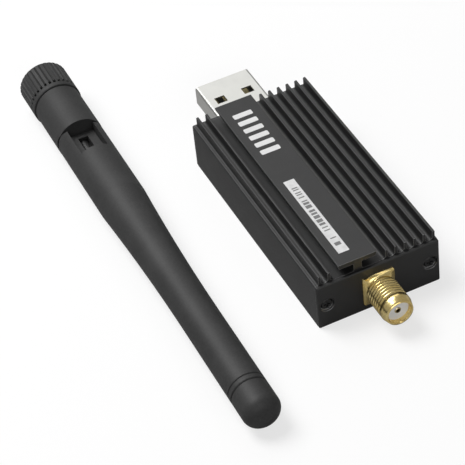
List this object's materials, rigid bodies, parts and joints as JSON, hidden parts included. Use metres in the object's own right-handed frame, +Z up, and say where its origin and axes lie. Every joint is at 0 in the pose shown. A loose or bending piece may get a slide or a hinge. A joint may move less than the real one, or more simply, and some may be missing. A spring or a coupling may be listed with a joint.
{
  "type": "usb radio stick with tilting aerial",
  "caption": "Finned aluminium USB stick with a threaded aerial port, shown with its unscrewed tilting whip aerial lying beside it.",
  "frame": {"origin": "centre of the stick's underside, on the surface it rests on", "axes": "+Z up, +Y along the stick towards its USB plug, +X to the right seen from above with the plug pointing away; the aerial lies on the -X side"},
  "size_m": [0.0498, 0.1077, 0.0132],
  "materials": {
    "anodised_case": "black anodised, satin",
    "anodised_plate": "black anodised, fine satin",
    "black_screw": "black oxide",
    "board_laminate": "solder resist over glass-fibre laminate",
    "chip_epoxy": "moulded epoxy",
    "crystal_can": "nickel plated",
    "ceramic": "fired ceramic",
    "led_resin": "clear resin",
    "plug_steel": "nickel plated, satin",
    "plug_plastic": "moulded plastic",
    "gilt_contact": "gold plated",
    "gilt_body": "gold plated, bright",
    "ptfe": "fluoropolymer",
    "aerial_plastic": "fine matt moulding",
    "cable_jacket": "smooth black jacket",
    "radiator_brass": "plain"
  },
  "bodies": {
    "stick": {"heatsink_case": "anodised_case", "front_end_plate": "anodised_plate", "rear_end_plate": "anodised_plate", "front_screws": "black_screw", "rear_screws": "black_screw", "circuit_board": "board_laminate", "radio_chip": "chip_epoxy", "usb_bridge_chip": "chip_epoxy", "voltage_regulator": "chip_epoxy", "crystals": "crystal_can", "capacitors": "ceramic", "status_led": "led_resin", "usb_plug_shell": "plug_steel", "usb_plug_insulator": "plug_plastic", "usb_contacts": "gilt_contact", "port_body": "gilt_body", "port_insulator": "ptfe", "port_contact": "gilt_contact", "aerial_base": "aerial_plastic", "aerial_connector_body": "gilt_body", "retaining_ring": "gilt_body", "aerial_insulator": "ptfe", "aerial_pin": "gilt_contact", "base_feed_cable": "cable_jacket"},
    "whip": {"aerial_sleeve": "aerial_plastic", "aerial_tip_cap": "aerial_plastic", "whip_feed_cable": "cable_jacket", "dipole_sleeve": "radiator_brass", "radiator_wire": "radiator_brass"},
    "coupling": {"coupling_ring": "aerial_plastic", "coupling_nut": "gilt_body"}
  },
  "joints": [
    {"name": "whip_tilt", "type": "hinge", "parent": "stick", "child": "whip", "pos_m": [-0.03192, 0.03587, 0.0057], "axis": [-1, 0.0098, 0], "range_deg": [0, 90]},
    {"name": "coupling_spin", "type": "hinge", "parent": "stick", "child": "coupling", "pos_m": [-0.03171, 0.05787, 0.00524], "axis": [0.0098, 0.9999, 0.0087], "continuous": true}
  ]
}
